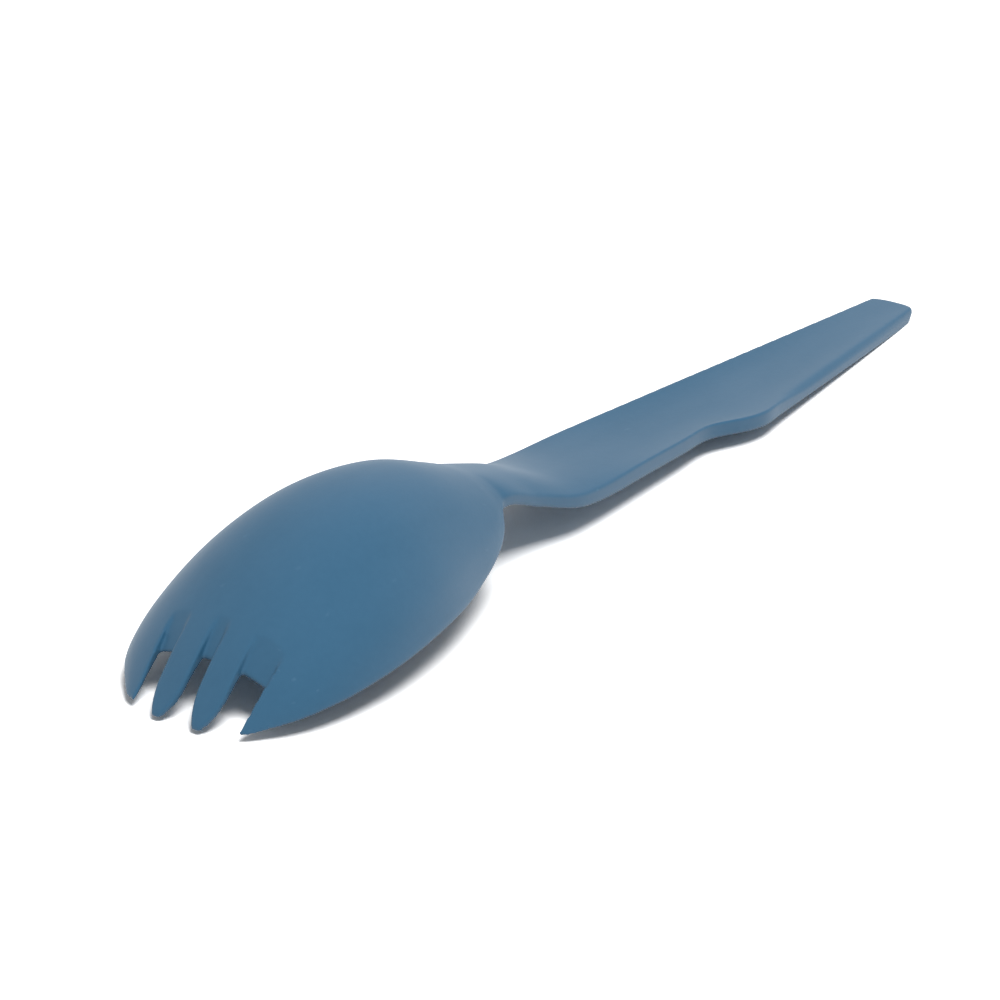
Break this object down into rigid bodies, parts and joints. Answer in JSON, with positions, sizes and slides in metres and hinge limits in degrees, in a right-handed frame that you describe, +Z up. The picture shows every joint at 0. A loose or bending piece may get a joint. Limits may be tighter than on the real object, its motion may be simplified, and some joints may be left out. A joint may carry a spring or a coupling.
{
  "type": "spork",
  "caption": "One-piece moulded spork with a deep pointed bowl, short tines at its front, a narrow raised neck and a flat handle that is stepped on one side.",
  "frame": {"origin": "on the table, under the middle of the spork's length and width, as it lies with the back of its bowl upwards", "axes": "+X from the tines to the end of the handle, +Z up from the table, -Y the side of the handle that has the notch and step"},
  "size_m": [0.1719, 0.0372, 0.0219],
  "materials": {
    "blue_plastic": "matte moulded plastic, slate blue, fine even grain"
  },
  "bodies": {
    "root": {"spork": "blue_plastic"}
  },
  "joints": []
}
